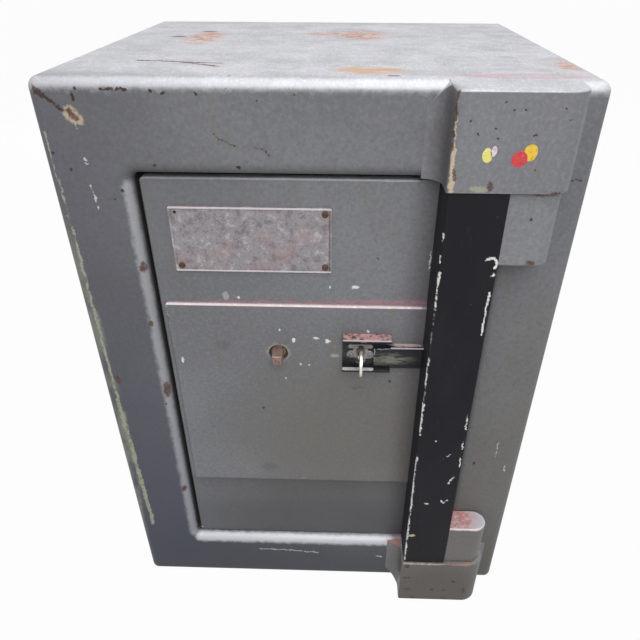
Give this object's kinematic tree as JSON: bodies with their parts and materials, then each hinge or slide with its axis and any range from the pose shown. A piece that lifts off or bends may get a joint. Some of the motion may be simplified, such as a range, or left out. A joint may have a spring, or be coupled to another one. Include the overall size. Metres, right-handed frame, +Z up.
{
  "type": "key lock safe",
  "caption": "Free-standing fire safe with a right-hung door on a post between two hinge castings, key lock, sliding round bolts and a shelved chamber.",
  "frame": {"origin": "middle of the underside of the body", "axes": "+Z up, -Y out of the front of the safe, +X to the right of someone facing the door"},
  "size_m": [0.508, 0.4955, 0.686],
  "materials": {
    "grey_paint": "worn silver-grey hammered paint",
    "black_paint": "semi-gloss black, chipped",
    "inner_paint": "matt grey primer",
    "cast_alloy": "dull cast, tarnished",
    "rusty_steel": "rusted",
    "plated_steel": "worn plating",
    "key_metal": "polished, brassy at the edge",
    "brass": "dull brass",
    "fire_filling": "cast mineral filling",
    "bare_steel": "machined, oiled"
  },
  "bodies": {
    "safe_body": {"body_casing": "grey_paint", "upper_hinge_casting": "grey_paint", "lower_hinge_casting": "grey_paint", "back_plate": "grey_paint", "door_frame": "inner_paint", "chamber_lining": "inner_paint", "shelf": "inner_paint", "shelf_bearers": "inner_paint", "bearer_rivets": "rusty_steel", "fire_filling": "fire_filling", "bolt_sockets": "bare_steel", "upper_hinge_pin": "bare_steel", "lower_hinge_pin": "bare_steel", "thrust_washer": "brass"},
    "door": {"door_plate": "grey_paint", "armour_plate": "grey_paint", "hinge_post": "black_paint", "upper_hinge_knuckle": "grey_paint", "lower_hinge_knuckle": "grey_paint", "nameplate": "cast_alloy", "nameplate_screws": "rusty_steel", "keyhole_guard": "black_paint", "guide_channel": "black_paint", "escutcheon": "plated_steel", "escutcheon_screws": "plated_steel", "door_pan": "inner_paint", "door_back_plate": "inner_paint", "back_plate_screws": "rusty_steel", "door_filling": "fire_filling", "bolt_bushes": "brass", "dog_bolts": "bare_steel", "dog_nuts": "bare_steel", "spindle_bush": "brass", "carrier_studs": "bare_steel", "lock_case": "bare_steel", "lock_cover": "bare_steel", "lock_screws": "bare_steel", "lock_bolt_guide": "bare_steel", "lever_post": "bare_steel"},
    "spindle": {"handle_spindle": "rusty_steel", "spindle_crank": "bare_steel", "crank_pin": "bare_steel"},
    "boltwork": {"bolt_carrier": "bare_steel", "lower_bolt": "bare_steel", "middle_bolt": "bare_steel", "upper_bolt": "bare_steel", "bolt_nuts": "bare_steel"},
    "key": {"key": "key_metal"},
    "keyhole_cover": {"keyhole_cover": "black_paint"},
    "lock_bolt": {"lock_bolt": "bare_steel"},
    "levers": {"lever_1": "brass", "lever_2": "brass", "lever_3": "brass", "lever_4": "brass"}
  },
  "joints": [
    {"name": "door_swing", "type": "hinge", "parent": "safe_body", "child": "door", "pos_m": [0.205, -0.246, 0.342], "axis": [0, 0, 1], "range_deg": [0, 170]},
    {"name": "spindle_turn", "type": "hinge", "parent": "door", "child": "spindle", "pos_m": [-0.0455, -0.2285, 0.399], "axis": [0, 1, 0], "range_deg": [0, 90.1]},
    {"name": "boltwork_slide", "type": "slide", "parent": "door", "child": "boltwork", "axis": [-1, 0, 0], "range_m": [0, 0.03]},
    {"name": "key_turn", "type": "hinge", "parent": "door", "child": "key", "pos_m": [0.0472, -0.2285, 0.406], "axis": [0, 1, 0], "range_deg": [0, 180.1]},
    {"name": "lock_bolt_slide", "type": "slide", "parent": "door", "child": "lock_bolt", "axis": [0, 0, -1], "range_m": [0, 0.01]},
    {"name": "lever_lift", "type": "hinge", "parent": "door", "child": "levers", "pos_m": [0.078, -0.1925, 0.445], "axis": [0, -1, 0], "range_deg": [0, 3.01]},
    {"name": "cover_slide", "type": "slide", "parent": "door", "child": "keyhole_cover", "axis": [-1, 0, 0], "range_m": [0, 0.008]}
  ],
  "couplings": [
    {"joint": "spindle_turn", "follows": "boltwork_slide", "rad_per_m": 52.36},
    {"joint": "key_turn", "follows": "lock_bolt_slide", "rad_per_m": 314.16},
    {"joint": "lever_lift", "follows": "lock_bolt_slide", "rad_per_m": 5.236}
  ]
}
